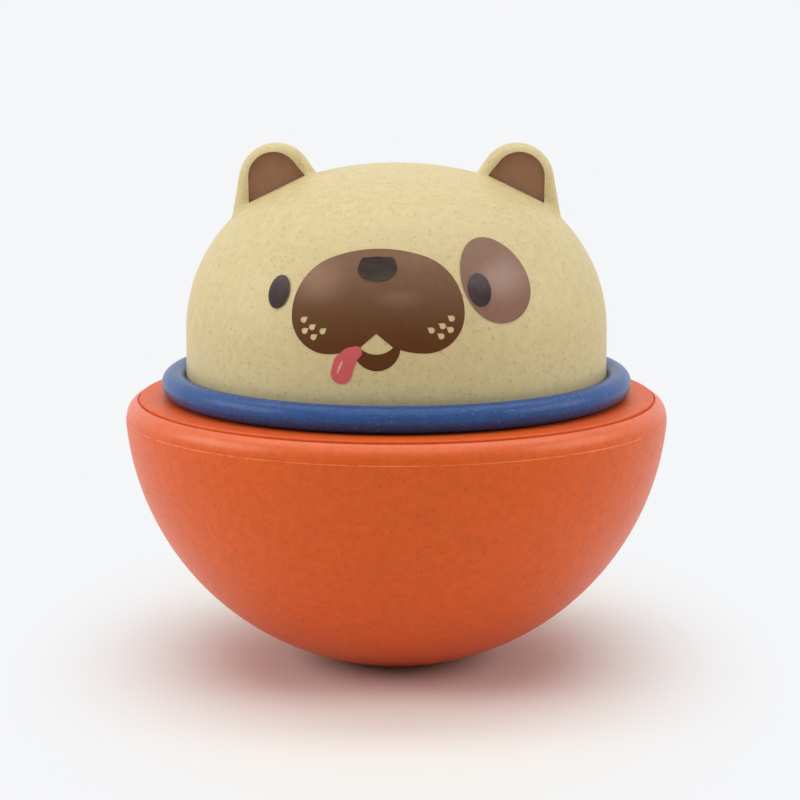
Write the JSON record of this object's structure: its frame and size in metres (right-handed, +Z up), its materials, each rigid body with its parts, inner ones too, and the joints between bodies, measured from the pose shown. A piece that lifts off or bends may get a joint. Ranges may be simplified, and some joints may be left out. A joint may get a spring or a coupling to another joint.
{
  "type": "roly-poly toy",
  "caption": "Weighted round-bottomed wobble toy: bowl with deck, collar ring and a turning dome head with ears, and a chime inside.",
  "frame": {"origin": "middle of the small flat foot under the bowl, on the surface that the toy stands on", "axes": "+Z up along the head's turning axis, -Y towards the front of the face, +X to the toy's left ear"},
  "size_m": [0.1096, 0.1096, 0.1057],
  "materials": {
    "orange_plastic": "satin speckled moulding",
    "cream_plastic": "satin speckled moulding",
    "blue_plastic": "satin speckled moulding",
    "nylon": "natural nylon",
    "ballast_iron": "raw casting",
    "steel": "zinc plated",
    "chime_steel": "bright drawn",
    "ball_wood": "turned beech",
    "brown_ink": "printed, satin",
    "taupe_ink": "printed, satin",
    "black_ink": "printed, satin",
    "dark_brown_ink": "printed, satin",
    "pink_ink": "printed, satin",
    "pale_pink_ink": "printed, satin"
  },
  "bodies": {
    "base": {"bowl": "orange_plastic", "deck": "orange_plastic", "head_bush": "nylon", "ballast": "ballast_iron", "ballast_screws": "steel", "chime_plate": "steel", "chime_rod_1": "chime_steel", "chime_rod_2": "chime_steel", "chime_rod_3": "chime_steel", "chime_rod_4": "chime_steel", "chime_bridge": "nylon", "bridge_screws": "steel", "gimbal_pins": "steel"},
    "gimbal": {"gimbal_block": "nylon"},
    "clapper": {"clapper_fork": "nylon", "clapper_pins": "steel", "clapper_ball": "ball_wood"},
    "head": {"head_shell": "cream_plastic", "collar": "blue_plastic", "head_floor": "cream_plastic", "head_screws": "steel", "spindle_washer": "steel", "spindle_screw": "steel", "muzzle_print": "brown_ink", "eye_patch_print": "taupe_ink", "eye_prints": "black_ink", "nose_print": "black_ink", "mouth_print": "dark_brown_ink", "tongue_print": "pink_ink", "tongue_shine_print": "pale_pink_ink", "ear_prints": "brown_ink"}
  },
  "joints": [
    {"name": "head_turn", "type": "hinge", "parent": "base", "child": "head", "pos_m": [0, 0, 0.05441], "axis": [0, 0, 1], "continuous": true},
    {"name": "gimbal_swing", "type": "hinge", "parent": "base", "child": "gimbal", "pos_m": [0, 0, 0.03877], "axis": [1, 0, 0], "range_deg": [-18, 18]},
    {"name": "clapper_swing", "type": "hinge", "parent": "gimbal", "child": "clapper", "pos_m": [0, 0, 0.03877], "axis": [0, 1, 0], "range_deg": [-18, 18]}
  ]
}
